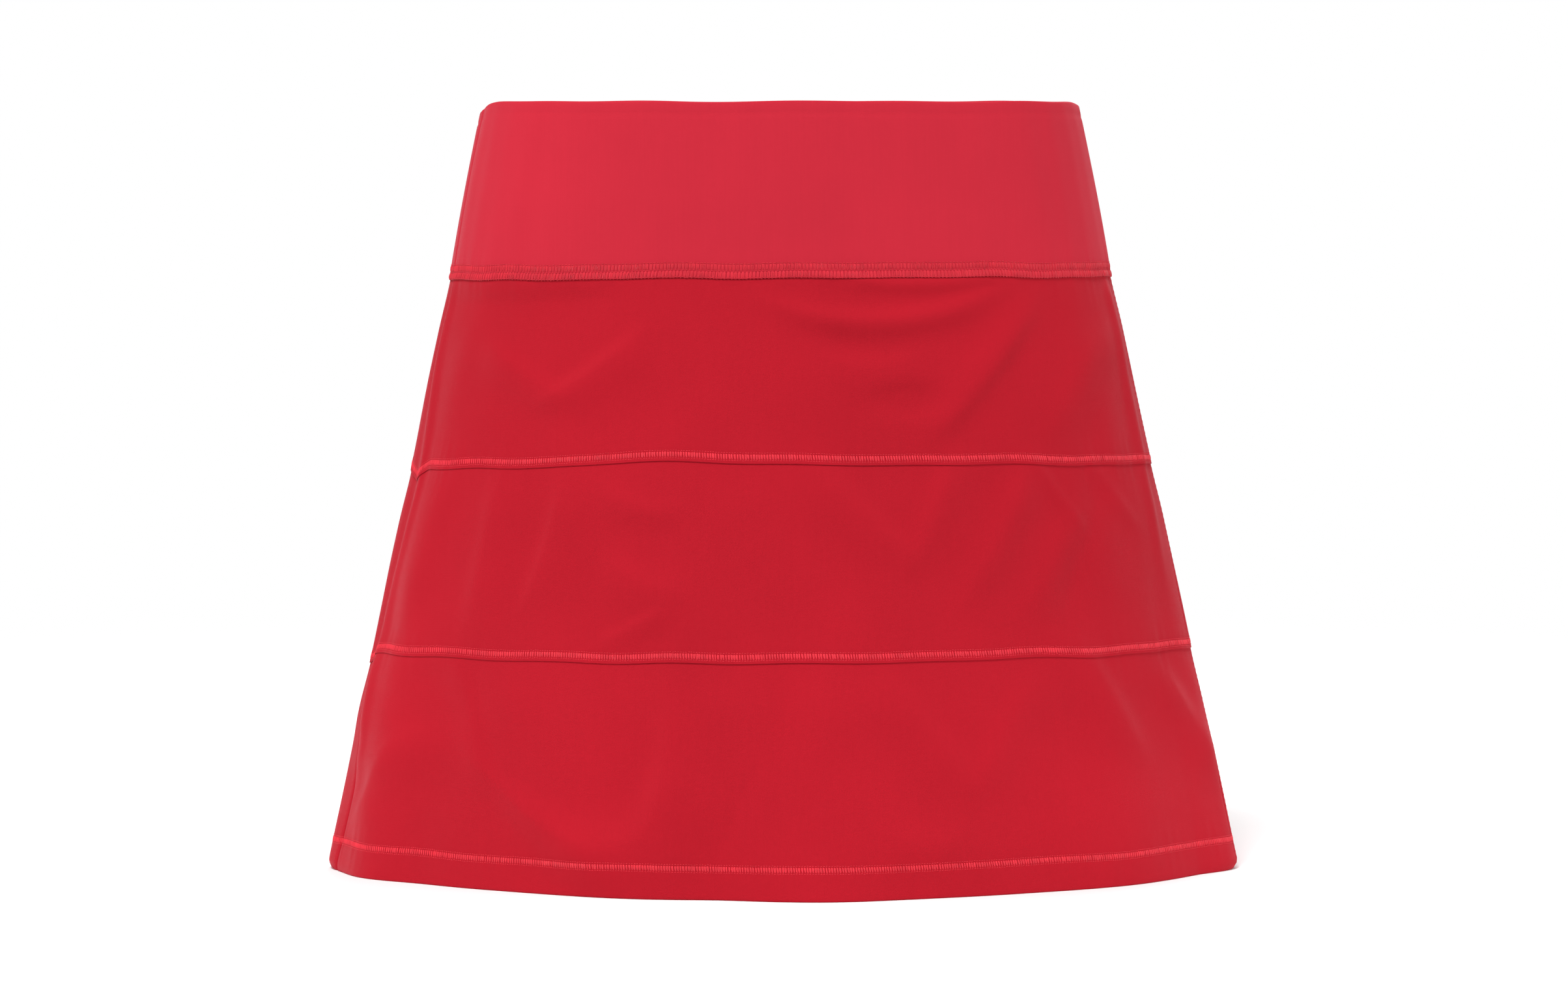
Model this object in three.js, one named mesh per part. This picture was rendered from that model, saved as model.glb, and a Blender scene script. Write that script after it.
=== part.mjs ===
// An A-line knit sports skirt, standing on its hem with the shape it has when worn.
// Millimetres, +Z up. The front faces -Y, and left and right are those of someone who looks at the front.
// Every piece is a wall swept around the skirt: a closed outline of (inset, height) points at each angle.
import * as THREE from 'three';

const { degToRad, lerp, mapLinear, smoothstep } = THREE.MathUtils;

// Driving sizes.
const LENGTH = 350;
const FABRIC = 0.8;
const THREAD = 0.5;
const GAP = 0.2;
const LAYER = FABRIC + GAP;

// The outer face, at the rim, at the waist seam and at the hem.
const WAIST_HEIGHT = 273.4;
const HALF_WIDTH = { rim: 135, waist: 149.6, hem: 207.4 };
const FRONT_DEPTH = { rim: 78, waist: 85, hem: 118 };
const BACK_DEPTH = { rim: 80, waist: 92, hem: 128 };
const FRONT_TAPER = { rim: 1, waist: 1.05, hem: 1.35 };
const BACK_TAPER = { rim: 1, waist: 1.05, hem: 1.25 };
const CENTRING = (FRONT_DEPTH.hem - BACK_DEPTH.hem) / 2;

// The rim dips a little where the waistband bends round each side.
const RIM_DIPS = [
  { angle: 180, depth: 7, spread: 8.5 },
  { angle: 0, depth: 3, spread: 6 },
];

// Seams: height at the sides, rise at the front centre, tilt up towards the right, height of the band of
// thread, and the ledge: how far the edge of the piece above hangs below that band.
const WAIST_SEAM = { height: WAIST_HEIGHT, rise: 2.5, tilt: 0.8, band: 6.8, ledge: 0.2 };
const UPPER_SEAM = { height: 187.3, rise: 5.8, tilt: 1.0, band: 3.6, ledge: 1.2 };
const LOWER_SEAM = { height: 103.6, rise: 3.2, tilt: 0.7, band: 3.6, ledge: 1.2 };
const HEM_STITCH = { height: 13.9, rise: 0, tilt: 0, band: 3.6, ledge: 0 };
// How far the piece below reaches up behind a seam, and the height over which it comes out to the front again.
const REACH = 3.6;
const TUCK_FADE = 24;
const LINING_STITCH_WIDTH = 3;

// Side seams, in degrees from the right-hand side round the front.
const RIGHT_SEAM = 3;
const LEFT_SEAM = 171.5;
const SEAM_MARGIN = 0.2;
const HALF_TURN_STEPS = 34;
const SIDE_STITCH_WIDTH = 5;

// Waistband, hem and labels.
const RIM_FOLD = 4;
const ELASTIC_HEIGHT = 8;
const HEM_TURN_UP = 14;
const HEM_SLACK = 0.6;
const LABEL = 0.4;
const SIZE_LABEL = { angle: 270, halfTurn: 6.3, height: 18, drop: 12 };
const CARE_LABEL = { angle: 190, halfTurn: 8, height: 50, drop: 1.5 };

function knit(colour) {
  return new THREE.MeshStandardMaterial({ color: colour, roughness: 0.9, metalness: 0 });
}

const BAND_KNIT = knit(0xd2344a);
const SKIRT_KNIT = knit(0xc42234);
const SEAM_THREAD = knit(0xdc4254);
const ELASTIC_WEAVE = knit(0xe9e4de);
const LABEL_SATIN = knit(0xf1efeb);

// A size that is given at the rim, the waist seam and the hem, read at any height.
function atHeight(size, height) {
  if (height > WAIST_HEIGHT) {
    return mapLinear(height, WAIST_HEIGHT, LENGTH, size.waist, size.rim);
  }
  return mapLinear(height, 0, WAIST_HEIGHT, size.hem, size.waist);
}

// A point of the skirt's wall: the angle goes from the right side over the front, the inset goes inwards.
function wallPoint(angle, [inset, height]) {
  const across = Math.cos(degToRad(angle));
  const along = Math.sin(degToRad(angle));
  const isFront = along > 0;
  const depth = atHeight(isFront ? FRONT_DEPTH : BACK_DEPTH, height) - inset;
  const taper = atHeight(isFront ? FRONT_TAPER : BACK_TAPER, height);
  const x = (atHeight(HALF_WIDTH, height) - inset) * across;
  const y = -depth * Math.sign(along) * Math.abs(along) ** taper;
  return [x, y + CENTRING, height];
}

function rimHeight(angle) {
  let height = LENGTH;
  for (const dip of RIM_DIPS) {
    const away = Math.abs(((angle - dip.angle + 540) % 360) - 180);
    height -= dip.depth * Math.exp(-((away / dip.spread) ** 2));
  }
  return height;
}

function seamHeight(seam, angle) {
  const front = Math.max(0, Math.sin(degToRad(angle)));
  return seam.height + seam.rise * front ** 1.5 + seam.tilt * Math.cos(degToRad(angle));
}

// The lower edge of the piece above a seam.
function edgeAbove(seam, angle) {
  return seamHeight(seam, angle) - seam.band / 2 - seam.ledge;
}

// The top edge of the piece below a seam.
function edgeBelow(seam, angle) {
  return seamHeight(seam, angle) + REACH;
}

function lap(seam) {
  return REACH + seam.band / 2 + seam.ledge;
}

function steps(start, end, count) {
  return Array.from({ length: count + 1 }, (_, i) => lerp(start, end, i / count));
}

const FRONT_ANGLES = steps(RIGHT_SEAM + SEAM_MARGIN, LEFT_SEAM - SEAM_MARGIN, HALF_TURN_STEPS);
const BACK_ANGLES = steps(LEFT_SEAM + SEAM_MARGIN, RIGHT_SEAM + 360 - SEAM_MARGIN, HALF_TURN_STEPS);
const RING_ANGLES = [...FRONT_ANGLES, ...BACK_ANGLES];

// Sweeps the closed outline outlineAt(angle) through the angles, with two end caps unless it is a full ring.
function sweep(angles, outlineAt, isRing) {
  const sections = angles.map(outlineAt);
  const size = sections[0].length;
  const positions = sections.flatMap((outline, i) => outline.flatMap((p) => wallPoint(angles[i], p)));
  const triangles = [];
  const spans = isRing ? angles.length : angles.length - 1;
  for (let i = 0; i < spans; i += 1) {
    const here = i * size;
    const next = ((i + 1) % angles.length) * size;
    for (let j = 0; j < size; j += 1) {
      const k = (j + 1) % size;
      triangles.push(here + j, next + j, next + k, here + j, next + k, here + k);
    }
  }
  if (!isRing) {
    const last = (angles.length - 1) * size;
    triangles.push(...endCap(sections[0], 0, false));
    triangles.push(...endCap(sections.at(-1), last, true));
  }
  const geometry = new THREE.BufferGeometry();
  geometry.setAttribute('position', new THREE.Float32BufferAttribute(positions, 3));
  geometry.setIndex(triangles);
  geometry.computeVertexNormals();
  return geometry;
}

function endCap(outline, offset, isLast) {
  const contour = outline.map(([inset, height]) => new THREE.Vector2(inset, height));
  const faces = THREE.ShapeUtils.triangulateShape(contour, []);
  return faces.flatMap(([a, b, c]) => (isLast ? [a, c, b] : [a, b, c]).map((i) => i + offset));
}

function piece(name, material, geometry) {
  const mesh = new THREE.Mesh(geometry, material);
  mesh.name = name;
  return mesh;
}

// How far a tier is tucked in behind the seam above it, at a distance below the tier's top edge.
function tuck(seam, below) {
  return LAYER * (1 - smoothstep(below, lap(seam), lap(seam) + TUCK_FADE));
}

// A flat strip of one thickness, with straight edges.
function strip(inset, thickness, top, bottom) {
  return [[inset, top], [inset, bottom], [inset + thickness, bottom], [inset + thickness, top]];
}

// The outer layer of the waistband, folded over at the rim.
function bandOutline(angle) {
  const top = rimHeight(angle);
  const bottom = edgeAbove(WAIST_SEAM, angle);
  const middle = (top + bottom) / 2;
  const inner = 2 * LAYER;
  return [
    [0, top], [0, middle], [0, bottom], [FABRIC, bottom], [FABRIC, middle], [FABRIC, top - FABRIC],
    [inner, top - FABRIC], [inner, top - RIM_FOLD], [inner + FABRIC, top - RIM_FOLD], [inner + FABRIC, top],
  ];
}

function liningOutline(angle) {
  const top = rimHeight(angle) - RIM_FOLD - GAP;
  return strip(2 * LAYER, FABRIC, top, edgeAbove(WAIST_SEAM, angle));
}

function elasticOutline(angle) {
  const top = rimHeight(angle) - FABRIC - GAP;
  return strip(LAYER, FABRIC, top, top - ELASTIC_HEIGHT);
}

// The outer face of a tier from its top edge down: close rows where it comes out from behind the seam.
function tierFace(seam, angle, bottom) {
  const top = edgeBelow(seam, angle);
  const out = top - lap(seam);
  const rows = [top, ...steps(out, out - TUCK_FADE, 4), ...steps(out - TUCK_FADE, bottom, 3).slice(1)];
  return rows.map((height) => [tuck(seam, top - height), height]);
}

function innerFace(face, thickness) {
  return face.map(([inset, height]) => [inset + thickness, height]).reverse();
}

function tierOutline(above, below) {
  return (angle) => {
    const face = tierFace(above, angle, edgeAbove(below, angle));
    return [...face, ...innerFace(face, FABRIC)];
  };
}

// The lowest tier turns up inside at the hem.
function hemTierOutline(angle) {
  const face = tierFace(LOWER_SEAM, angle, 0);
  const turnUp = FABRIC + HEM_SLACK;
  return [
    ...face, [turnUp + FABRIC, 0], [turnUp + FABRIC, HEM_TURN_UP], [turnUp, HEM_TURN_UP],
    [turnUp, FABRIC], [FABRIC, FABRIC], ...innerFace(face.slice(0, -1), FABRIC),
  ];
}

// A band of stitches that lies on the outside, over a seam.
function seamThreadOutline(seam) {
  return (angle) => {
    const centre = seamHeight(seam, angle);
    return strip(-GAP - THREAD, THREAD, centre + seam.band / 2, centre - seam.band / 2);
  };
}

// The stitches inside the rim that join the lining to the waistband's fold.
function liningThreadOutline(angle) {
  const centre = rimHeight(angle) - RIM_FOLD - GAP / 2;
  return strip(3 * LAYER, THREAD, centre + LINING_STITCH_WIDTH / 2, centre - LINING_STITCH_WIDTH / 2);
}

// Side stitches run down one tier, from the edge of the piece above to the next band of stitches.
function sideThreadOutline(above, below) {
  return (angle) => {
    const edge = edgeBelow(above, angle);
    const top = edgeAbove(above, angle) - GAP;
    const bottom = seamHeight(below, angle) + below.band / 2 + GAP;
    const rows = [...steps(top, top - TUCK_FADE, 4), bottom];
    const inner = rows.map((height) => [tuck(above, edge - height) - GAP, height]);
    const outer = inner.map(([inset, height]) => [inset - THREAD, height]);
    return [...outer, ...inner.reverse()];
  };
}

// The angles of a narrow strip that is centred on a side seam.
function sideStitchAngles(seam, height) {
  const [, y0] = wallPoint(seam - 0.5, [0, height]);
  const [, y1] = wallPoint(seam + 0.5, [0, height]);
  const halfTurn = SIDE_STITCH_WIDTH / 2 / Math.abs(y1 - y0);
  return steps(seam - halfTurn, seam + halfTurn, 2);
}

function sizeLabelOutline(angle) {
  const top = rimHeight(angle) - SIZE_LABEL.drop;
  return strip(3 * LAYER, LABEL, top, top - SIZE_LABEL.height);
}

// The care label hangs from the waist seam, inside the upper tier.
function careLabelOutline(angle) {
  const edge = edgeBelow(WAIST_SEAM, angle);
  const top = edgeAbove(WAIST_SEAM, angle) - CARE_LABEL.drop;
  const rows = [...steps(top, top - TUCK_FADE, 4), top - CARE_LABEL.height];
  const face = rows.map((height) => [tuck(WAIST_SEAM, edge - height) + LAYER, height]);
  return [...face, ...innerFace(face, LABEL)];
}

function labelAngles(label) {
  return steps(label.angle - label.halfTurn, label.angle + label.halfTurn, 4);
}

const skirt = new THREE.Group();

const HALVES = { front: FRONT_ANGLES, back: BACK_ANGLES };
const PANELS = [
  { name: 'waistband', material: BAND_KNIT, outline: bandOutline },
  { name: 'waistband_lining', material: BAND_KNIT, outline: liningOutline },
  { name: 'upper_tier', material: SKIRT_KNIT, outline: tierOutline(WAIST_SEAM, UPPER_SEAM) },
  { name: 'middle_tier', material: SKIRT_KNIT, outline: tierOutline(UPPER_SEAM, LOWER_SEAM) },
  { name: 'lower_tier', material: SKIRT_KNIT, outline: hemTierOutline },
];
for (const panel of PANELS) {
  for (const [half, angles] of Object.entries(HALVES)) {
    skirt.add(piece(`${panel.name}_${half}`, panel.material, sweep(angles, panel.outline, false)));
  }
}

const RINGS = [
  { name: 'waistband_elastic', material: ELASTIC_WEAVE, outline: elasticOutline },
  { name: 'lining_seam_thread', material: SEAM_THREAD, outline: liningThreadOutline },
  { name: 'waist_seam_thread', material: SEAM_THREAD, outline: seamThreadOutline(WAIST_SEAM) },
  { name: 'upper_seam_thread', material: SEAM_THREAD, outline: seamThreadOutline(UPPER_SEAM) },
  { name: 'lower_seam_thread', material: SEAM_THREAD, outline: seamThreadOutline(LOWER_SEAM) },
  { name: 'hem_stitch_thread', material: SEAM_THREAD, outline: seamThreadOutline(HEM_STITCH) },
];
for (const ring of RINGS) {
  skirt.add(piece(ring.name, ring.material, sweep(RING_ANGLES, ring.outline, true)));
}

const SIDES = { right: RIGHT_SEAM, left: LEFT_SEAM };
const SIDE_STITCHES = [
  { name: 'upper_tier_side_thread', above: WAIST_SEAM, below: UPPER_SEAM },
  { name: 'middle_tier_side_thread', above: UPPER_SEAM, below: LOWER_SEAM },
  { name: 'lower_tier_side_thread', above: LOWER_SEAM, below: HEM_STITCH },
];
for (const stitch of SIDE_STITCHES) {
  for (const [side, seam] of Object.entries(SIDES)) {
    const angles = sideStitchAngles(seam, stitch.below.height);
    const outline = sideThreadOutline(stitch.above, stitch.below);
    skirt.add(piece(`${stitch.name}_${side}`, SEAM_THREAD, sweep(angles, outline, false)));
  }
}

skirt.add(piece('size_label', LABEL_SATIN, sweep(labelAngles(SIZE_LABEL), sizeLabelOutline, false)));
skirt.add(piece('care_label', LABEL_SATIN, sweep(labelAngles(CARE_LABEL), careLabelOutline, false)));

export default skirt;
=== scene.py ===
"""A red knit sports skirt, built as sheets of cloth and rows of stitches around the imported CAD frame."""

import math

import bmesh
import bpy
import numpy as np
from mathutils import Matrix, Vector


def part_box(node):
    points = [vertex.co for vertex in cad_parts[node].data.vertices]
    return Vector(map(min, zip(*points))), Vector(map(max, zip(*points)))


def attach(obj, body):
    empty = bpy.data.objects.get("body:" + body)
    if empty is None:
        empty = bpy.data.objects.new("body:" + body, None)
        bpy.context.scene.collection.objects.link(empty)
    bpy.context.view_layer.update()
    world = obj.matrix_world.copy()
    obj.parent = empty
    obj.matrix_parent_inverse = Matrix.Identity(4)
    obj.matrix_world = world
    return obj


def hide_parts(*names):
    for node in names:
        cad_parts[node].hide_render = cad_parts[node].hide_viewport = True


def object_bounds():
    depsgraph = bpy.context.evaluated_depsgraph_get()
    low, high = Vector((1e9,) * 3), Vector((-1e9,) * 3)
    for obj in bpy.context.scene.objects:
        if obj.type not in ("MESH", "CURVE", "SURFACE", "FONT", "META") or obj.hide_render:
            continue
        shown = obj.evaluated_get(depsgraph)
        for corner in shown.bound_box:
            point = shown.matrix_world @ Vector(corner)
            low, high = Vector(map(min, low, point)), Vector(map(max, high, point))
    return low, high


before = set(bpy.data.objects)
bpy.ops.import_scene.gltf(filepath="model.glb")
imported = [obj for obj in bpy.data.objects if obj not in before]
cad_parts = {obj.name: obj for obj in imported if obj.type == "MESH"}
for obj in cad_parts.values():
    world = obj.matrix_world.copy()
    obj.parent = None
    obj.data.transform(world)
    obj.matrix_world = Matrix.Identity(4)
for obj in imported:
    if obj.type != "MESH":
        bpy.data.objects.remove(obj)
CAD_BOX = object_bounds()
MM = 1000.0

# ---------------------------------------------------------------- sizes, in millimetres, from the frame
# The skirt's axis is a little in front of the origin, because its back is deeper than its front.
AXIS_Y = -5.0
LENGTH = CAD_BOX[1].z * MM
HEM_HALF_WIDTH = CAD_BOX[1].x * MM
HEM_FRONT_DEPTH = AXIS_Y - CAD_BOX[0].y * MM
HEM_BACK_DEPTH = CAD_BOX[1].y * MM - AXIS_Y

FABRIC = 0.42
GAP = 0.08
LAYER = FABRIC + GAP
# How far a tier reaches up behind the seam above it, and the height over which it comes out again below.
REACH = 3.6
TUCK_FADE = 24.0
RIM_FOLD = 4.0
HEM_TURN_UP = 14.0
HEM_FOLD_RADIUS = 0.7
ELASTIC_HEIGHT = 7.0
ELASTIC_THICKNESS = 0.45
LABEL_THICKNESS = 0.35

HALF_WIDTH = {"rim": 0.651 * HEM_HALF_WIDTH, "waist": 0.7213 * HEM_HALF_WIDTH, "hem": HEM_HALF_WIDTH}
FRONT_DEPTH = {"rim": 0.661 * HEM_FRONT_DEPTH, "waist": 0.7203 * HEM_FRONT_DEPTH, "hem": HEM_FRONT_DEPTH}
BACK_DEPTH = {"rim": 0.625 * HEM_BACK_DEPTH, "waist": 0.7188 * HEM_BACK_DEPTH, "hem": HEM_BACK_DEPTH}
FRONT_TAPER = {"rim": 1.0, "waist": 1.05, "hem": 1.35}
BACK_TAPER = {"rim": 1.0, "waist": 1.05, "hem": 1.25}
SIDE_ROUNDING = 0.25

# Side seams, in degrees from the right-hand side round the front.
RIGHT_SEAM = 3.0
LEFT_SEAM = 171.5
SEAM_MARGIN = 0.05

# The rim dips a little where the waistband bends round each side: angle, depth, spread in degrees.
RIM_DIPS = [(180.0, 4.8, 13.0), (0.0, 2.6, 11.0)]


def seam(node, rise, tilt, band, ledge, wave, bends=()):
    """A sewn line: its height at the sides comes from the CAD's band of stitches.

    It rises by rise in the middle of the front and by tilt on the right. Its stitches are band wide,
    the piece above ends ledge below them, and wave is the size of its small waves.
    """
    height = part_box(node)[0].z * MM + band / 2 + tilt
    return dict(height=height, rise=rise, tilt=tilt, band=band, ledge=ledge, wave=wave, bends=bends)


# Each bend is (angle, spread, rise): where the sewn line wanders from its even curve.
WAIST_SEAM = seam("waist_seam_thread", 2.5, 0.8, 6.8, 0.2, 0.3)
UPPER_SEAM = seam("upper_seam_thread", 5.8, 1.0, 3.6, 1.2, 0.35, [(107, 17, 1.9), (172, 5, -5.5)])
LOWER_SEAM = seam("lower_seam_thread", 3.2, 0.7, 3.6, 1.2, 0.4, [(178, 6, -5.5), (112, 6, -1.2)])
HEM_STITCH = seam("hem_stitch_thread", 0.0, 0.0, 3.6, 0.0, 0.2)
WAIST = WAIST_SEAM["height"]
UPPER = UPPER_SEAM["height"]
LOWER = LOWER_SEAM["height"]
SEAMS = [WAIST_SEAM, UPPER_SEAM, LOWER_SEAM, HEM_STITCH]


# ---------------------------------------------------------------- the wall of the skirt
def bump(distance):
    """A smooth hill, 1 at no distance and almost 0 from a distance of 2."""
    return np.exp(-(distance**2))


def ramp(value, start, end):
    """A smooth step from 0 at start to 1 at end."""
    t = np.clip((value - start) / (end - start), 0, 1)
    return t * t * (3 - 2 * t)


def turn_from(angle, centre):
    """Degrees from centre to angle, the short way round."""
    return (angle - centre + 540) % 360 - 180


def ripple(angle, waves, seed):
    """A smooth irregular wave of about unit height, with whole numbers of waves round the skirt."""
    phases = np.random.default_rng(seed).uniform(0, 2 * math.pi, len(waves))
    total = sum(np.sin(np.radians(angle) * n + p) for n, p in zip(waves, phases))
    return total / math.sqrt(len(waves))


def at_height(size, height):
    """A size that is given at the rim, the waist seam and the hem, read at any height."""
    upper = size["waist"] + (size["rim"] - size["waist"]) * (height - WAIST) / (LENGTH - WAIST)
    lower = size["hem"] + (size["waist"] - size["hem"]) * height / WAIST
    return np.where(height > WAIST, upper, lower)


def seam_height(line, angle):
    """Height of the middle of a sewn line at an angle."""
    front = np.maximum(0, np.sin(np.radians(angle)))
    height = line["height"] + line["rise"] * front**1.5 + line["tilt"] * np.cos(np.radians(angle))
    for centre, spread, rise in line["bends"]:
        height = height + rise * bump(turn_from(angle, centre) / spread)
    return height + line["wave"] * ripple(angle, (7, 12, 19), 11)


def edge_above(line, angle):
    """The lower edge of the piece above a seam."""
    return seam_height(line, angle) - line["band"] / 2 - line["ledge"]


def edge_below(line, angle):
    """The top edge of the piece below a seam."""
    return seam_height(line, angle) + REACH


def rim_height(angle):
    """Height of the rim, with its small waves and its dip at each side."""
    height = LENGTH - 0.25 + 0.25 * ripple(angle, (5, 9, 14), 3)
    for centre, depth, spread in RIM_DIPS:
        height = height - depth * bump(turn_from(angle, centre) / spread)
    return height


# Soft flutes: angle, spread in degrees, depth at the hem, height where it begins.
FLUTES = [
    (0, 13, 2.8, 330),
    (84, 14, 7.0, 240),
    (157, 10, 7.5, 235),
    (118, 9, 1.6, 150),
    (40, 10, 1.8, 170),
    (207, 13, 7.0, 215),
    (243, 12, 5.5, 190),
    (276, 13, 6.5, 225),
    (314, 14, 7.5, 230),
    (342, 9, 4.0, 180),
]
# How far the hem hangs inside its widest line, away from the flutes and the sides.
DRAWN_IN = 7.0
DRAWN_IN_BELOW = 235
FLARE = 1.3


def flutes(angle, height):
    """The hem hangs a little inside its widest line, and swings out again in soft flutes."""
    away = np.minimum(np.abs(turn_from(angle, 0)), np.abs(turn_from(angle, 180)))
    fall = np.clip(1 - height / DRAWN_IN_BELOW, 0, 1) ** FLARE
    out = -DRAWN_IN * ramp(away, 2, 20) * fall
    for centre, spread, depth, top in FLUTES:
        growth = np.clip(1 - height / top, 0, 1) ** FLARE
        out = out + depth * bump(turn_from(angle, centre) / spread) * growth
    return out


# Creases: start and end of the crest as (x, height), sag of its middle, width above and below it, how far it
# stands out. Above and below are across the run of the crease.
FRONT_CREASES = [
    # between the waist and the upper seam
    ((-22, 268), (120, 279), 20, 4.5, 6.5, 2.2),
    ((4, 277), (118, 278), 8, 2.6, 4.0, 1.1),
    ((118, 272), (58, 192), 3, 8.5, 6.0, 2.4),
    ((152, 258), (114, 192), 0, 7.0, 10.0, 1.3),
    ((-136, 246), (-88, 216), 3, 5.0, 10.0, 1.7),
    ((-112, 212), (-54, 254), 3, 4.5, 12.0, 2.6),
    ((8, 240), (72, 240), 8, 6.0, 14.0, 1.2),
    ((-166, 257), (-58, 263), 1, 8.0, 18.0, -2.2),
    ((-46, 266), (-28, 198), 0, 8.0, 8.0, 0.6),
    # between the upper and the lower seam
    ((-94, 194), (-121, 114), 4, 4.2, 13.0, 1.8),
    ((-120, 200), (-144, 100), 0, 5.5, 11.0, 1.7),
    ((-146, 200), (-174, 104), 0, 8.0, 6.0, 1.7),
    ((4, 200), (66, 138), 0, 6.0, 14.0, 2.3),
    ((82, 200), (54, 136), 0, 6.0, 8.0, 1.9),
    ((118, 200), (78, 118), 0, 6.0, 9.0, 2.5),
    ((140, 178), (104, 110), 0, 6.5, 9.0, 1.5),
    ((106, 200), (142, 152), 0, 2.6, 3.4, 0.7),
    ((132, 200), (168, 150), 0, 2.6, 3.4, 0.6),
    ((148, 192), (124, 106), 0, 7.0, 6.0, -1.0),
    ((-88, 184), (-38, 170), 6, 5.5, 10.0, 1.2),
    ((-88, 107), (-46, 129), 0, 2.8, 6.0, 1.0),
    ((-84, 150), (-36, 132), 4, 7.0, 12.0, 1.5),
    # below the lower seam
    ((-148, 60), (-50, 110), 70, 12.0, 30.0, 6.0),
    ((-172, 112), (-204, 52), 0, 5.0, 22.0, 2.6),
    ((-200, 44), (-154, 70), 0, 6.0, 12.0, 1.8),
    ((-150, 112), (-134, 36), 0, 4.5, 9.0, 1.4),
    ((-168, 72), (-198, 14), 0, 3.6, 12.0, 1.6),
    ((36, 106), (94, 38), 0, 7.5, 14.0, 2.1),
    ((122, 104), (82, 34), 0, 7.5, 12.0, 1.9),
    ((40, 32), (88, 26), 6, 7.0, 12.0, 1.3),
    ((128, 118), (172, 46), 0, 6.0, 11.0, 2.1),
    ((172, 102), (204, 34), 0, 3.4, 6.0, 2.4),
    ((3, 118), (-3, 6), 0, 8.0, 8.0, -1.5),
    ((-8, 66), (-32, 10), 0, 4.0, 4.0, -0.5),
]
BACK_CREASES = [
    ((-112, 268), (20, 266), 16, 8.0, 5.0, 2.2),
    ((-30, 272), (96, 262), 11, 8.0, 5.0, 1.7),
    ((-104, 258), (-74, 202), 3, 10.0, 6.0, 1.8),
    ((118, 262), (84, 200), -4, 10.0, 6.0, 1.9),
    ((20, 236), (72, 214), 5, 9.0, 7.0, 1.2),
    ((-52, 188), (-78, 114), 4, 11.0, 7.0, 1.9),
    ((46, 188), (70, 112), -4, 11.0, 7.0, 2.0),
    ((104, 184), (134, 110), -3, 10.0, 6.0, 1.6),
    ((-134, 182), (-150, 112), 0, 10.0, 6.0, 1.6),
    ((8, 104), (-20, 12), 5, 12.0, 8.0, 2.0),
    ((92, 104), (128, 18), -6, 12.0, 8.0, 2.2),
    ((-96, 104), (-118, 20), 5, 12.0, 8.0, 2.1),
]

# Hollows and swells: centre as (x, height), half width, half height, how far it stands out.
FRONT_SWELLS = [
    ((56, 218), 18, 8, -1.3),
    ((-160, 82), 20, 16, -2.0),
    ((-60, 162), 10, 6, -0.4),
    ((150, 28), 34, 22, 1.4),
    ((112, 66), 12, 18, -1.0),
]
BACK_SWELLS = [
    ((-20, 232), 30, 16, -1.6),
    ((0, 150), 26, 30, 1.8),
    ((44, 60), 26, 34, -2.6),
    ((-62, 58), 26, 34, -2.6),
]


# The share of a crease over which it rises out of the cloth at each end, and the depth of the valley under it,
# as a share of its own.
CREASE_END = 0.35
VALLEY = 0.3


def creases(lines, swells, across, height):
    """Soft folds, each a ridge along a curved crest with a shallow valley under it, and broad swells."""
    out = 0.0
    for (x0, z0), (x1, z1), sag, above, below, depth in lines:
        run = np.array([x1 - x0, z1 - z0], float)
        span = np.hypot(*run)
        run /= span
        t = ((across - x0) * run[0] + (height - z0) * run[1]) / span
        side = (height - z0) * run[0] - (across - x0) * run[1]
        side = side * np.sign(run[0]) + sag * 4 * t * (1 - t)
        ends = ramp(t, 0, CREASE_END) * ramp(1 - t, 0, CREASE_END)
        crest = bump(side / np.where(side > 0, above, below))
        valley = bump((side + 2.2 * below) / (1.6 * below))
        out = out + depth * ends * (crest - VALLEY * valley)
    for (x, z), wide, tall, depth in swells:
        out = out + depth * bump(np.hypot((across - x) / wide, (height - z) / tall) ** 1.5)
    return out


def puckers(angle, height):
    """The cloth gathers very slightly along each row of stitches, and the band of stitches presses it in."""
    out = 0.0
    for number, line in enumerate(SEAMS):
        offset = height - seam_height(line, angle)
        gathers = ripple(angle, (61, 83, 104, 131), 20 + number)
        reach = np.where(offset > 0, 9.0, 12.0)
        out = out + 0.06 * gathers * bump(offset / reach)
        out = out - 0.2 * bump(offset / (0.55 * line["band"])) ** 2
    return out


def rumple(angle, height):
    """Shallow irregular undulation of the whole cloth."""
    rng = np.random.default_rng(7)
    out = 0.0
    for _ in range(14):
        waves = rng.integers(8, 34)
        slant = rng.uniform(-0.09, 0.09)
        phase = rng.uniform(0, 2 * math.pi)
        out = out + np.sin(np.radians(angle) * waves + height * slant + phase) * 3.2 / (waves + 8)
    calm = 0.35 + 0.65 * ramp(WAIST - height, -5, 60)
    return 0.55 * out * calm


def side_seams(angle, height):
    """A groove along each side seam; on the left the front stands out in a crest before the back."""
    out = 0.0
    for centre in (RIGHT_SEAM, LEFT_SEAM):
        out = out - 0.6 * bump(turn_from(angle, centre) / 0.6)
    below_band = ramp(WAIST - height, -6, 14)
    crest = turn_from(angle, LEFT_SEAM)
    out = out + 1.4 * bump((crest + 2.6) / 2.4) * below_band * ramp(height, 20, 80)
    out = out - 1.2 * bump((crest - 2.4) / 2.6) * below_band * ramp(height, 40, 110)
    ridge = turn_from(angle, RIGHT_SEAM + 9.5)
    return out + 1.5 * bump(ridge / 2.6) * below_band * ramp(height, 120, 170)


def hem_corners(angle, height):
    """The turned-up hem is drawn in a little at its very edge, at the two sides."""
    away = np.minimum(np.abs(turn_from(angle, 0)), np.abs(turn_from(angle, 180)))
    return -3.0 * bump(away / 9.0) * (1 - ramp(height, -1, 6)) ** 2


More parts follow.
